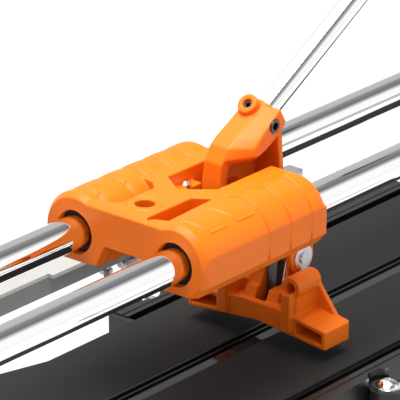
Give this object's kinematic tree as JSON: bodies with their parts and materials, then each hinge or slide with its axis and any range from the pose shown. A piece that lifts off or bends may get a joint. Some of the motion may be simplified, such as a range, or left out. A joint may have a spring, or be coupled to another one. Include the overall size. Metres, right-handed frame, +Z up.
{
  "type": "manual tile cutter",
  "caption": "Manual rail tile cutter: a cast carriage with a scoring wheel, a lever and a breaker foot slides on chromed rails over a padded table with swing-out side supports",
  "frame": {"origin": "middle of the footprint on the surface the machine stands on, at rest", "axes": "+X along the rails towards the lever grip, +Y across the table to the far side, +Z up"},
  "size_m": [1, 0.454, 0.4223],
  "materials": {
    "orange_paint": "satin powder coat on cast aluminium",
    "bush_orange": "satin plastic bush",
    "black_paint": "satin black paint",
    "pad_rubber": "fine-grained matte mat",
    "foot_rubber": "matte",
    "grip_rubber": "ribbed, matte",
    "black_plastic": "extruded, low sheen",
    "knob_plastic": "moulded",
    "grey_strip": "brushed, grey anodised",
    "grey_casting": "sand-cast, grey",
    "aluminium": "drawn, clear anodised",
    "chrome": "polished",
    "steel": "zinc plated",
    "dark_steel": "blackened"
  },
  "bodies": {
    "base": {"base_tray": "black_paint", "front_pad": "pad_rubber", "rear_pad": "pad_rubber", "breaking_strip": "grey_strip", "strip_channel": "black_plastic", "rear_side_channel": "black_plastic", "front_side_channel": "black_plastic", "channel_end_caps": "black_plastic", "rubber_feet": "foot_rubber", "front_rail_bracket": "orange_paint", "rear_rail_bracket": "orange_paint", "rail_clamp_screws": "steel", "bracket_bolts": "steel", "near_rail": "chrome", "far_rail": "chrome", "near_post_bracket": "black_paint", "near_post_bolt": "chrome", "far_post_bracket": "black_paint", "far_post_bolt": "chrome", "fence_stud": "steel"},
    "near_arm_body": {"near_arm": "aluminium"},
    "near_bar_body": {"near_bar": "grey_casting", "near_bar_cover": "aluminium", "near_bar_bolts": "steel"},
    "near_link_body": {"near_link": "aluminium"},
    "far_arm_body": {"far_arm": "aluminium"},
    "far_bar_body": {"far_bar": "grey_casting", "far_bar_cover": "aluminium", "far_bar_bolts": "steel"},
    "far_link_body": {"far_link": "aluminium"},
    "fence_body": {"measuring_fence": "aluminium"},
    "knob_body": {"fence_knob": "knob_plastic"},
    "carriage": {"carriage_body": "orange_paint", "rail_bushes": "bush_orange", "rail_wipers": "foot_rubber", "carriage_screws": "chrome", "lever_pivot_pin": "steel"},
    "lever": {"lever_casting": "orange_paint", "lever_tube": "chrome", "lever_grip": "grip_rubber", "tube_end_plug": "knob_plastic", "tube_clamp_screw": "dark_steel", "lever_side_bush": "dark_steel", "rear_stop_block": "steel", "wheel_holder": "dark_steel", "wheel_axle": "steel", "foot_pivot_bolt": "steel", "foot_washers": "steel"},
    "wheel": {"scoring_wheel": "dark_steel"},
    "foot": {"breaker_foot": "orange_paint", "torsion_spring": "steel"}
  },
  "joints": [
    {"name": "carriage_travel", "type": "slide", "parent": "base", "child": "carriage", "axis": [1, 0, 0], "range_m": [-0.17, 0.5]},
    {"name": "lever_swing", "type": "hinge", "parent": "carriage", "child": "lever", "pos_m": [-0.118, -0.0053, 0.1683], "axis": [0, 1, 0], "range_deg": [-25, 10]},
    {"name": "wheel_spin", "type": "hinge", "parent": "lever", "child": "wheel", "pos_m": [-0.075, -0.0053, 0.0618], "axis": [0, 1, 0], "continuous": true},
    {"name": "foot_tilt", "type": "hinge", "parent": "lever", "child": "foot", "pos_m": [-0.069, -0.0053, 0.1078], "axis": [0, 1, 0], "range_deg": [-8, 8], "stiffness_Nm_per_rad": 2},
    {"name": "fence_swivel", "type": "hinge", "parent": "base", "child": "fence_body", "pos_m": [-0.372, -0.0053, 0.05], "axis": [0, 0, 1], "range_deg": [-40, 40]},
    {"name": "knob_turn", "type": "hinge", "parent": "base", "child": "knob_body", "pos_m": [-0.372, -0.0053, 0.06], "axis": [0, 0, 1], "range_deg": [0, 180]},
    {"name": "near_arm_swing", "type": "hinge", "parent": "base", "child": "near_arm_body", "pos_m": [-0.0852, -0.1189, 0.0185], "axis": [0, 0, 1], "range_deg": [-30, 28]},
    {"name": "near_bar_pivot", "type": "hinge", "parent": "near_arm_body", "child": "near_bar_body", "pos_m": [0.00743, -0.21153, 0.034], "axis": [0, 0, 1], "range_deg": [-30, 30]},
    {"name": "near_link_pivot", "type": "hinge", "parent": "base", "child": "near_link_body", "pos_m": [-0.1032, -0.1289, 0.0095], "axis": [0, 0, 1], "range_deg": [-30, 30]},
    {"name": "far_arm_swing", "type": "hinge", "parent": "base", "child": "far_arm_body", "pos_m": [-0.0852, 0.1189, 0.0185], "axis": [0, 0, 1], "range_deg": [-28, 30]},
    {"name": "far_bar_pivot", "type": "hinge", "parent": "far_arm_body", "child": "far_bar_body", "pos_m": [0.00743, 0.21153, 0.034], "axis": [0, 0, 1], "range_deg": [-30, 30]},
    {"name": "far_link_pivot", "type": "hinge", "parent": "base", "child": "far_link_body", "pos_m": [-0.1032, 0.1289, 0.0095], "axis": [0, 0, 1], "range_deg": [-30, 30]}
  ],
  "couplings": [
    {"joint": "near_bar_pivot", "follows": "near_arm_swing", "ratio": -1},
    {"joint": "near_link_pivot", "follows": "near_arm_swing", "ratio": 1},
    {"joint": "far_bar_pivot", "follows": "far_arm_swing", "ratio": -1},
    {"joint": "far_link_pivot", "follows": "far_arm_swing", "ratio": 1}
  ]
}
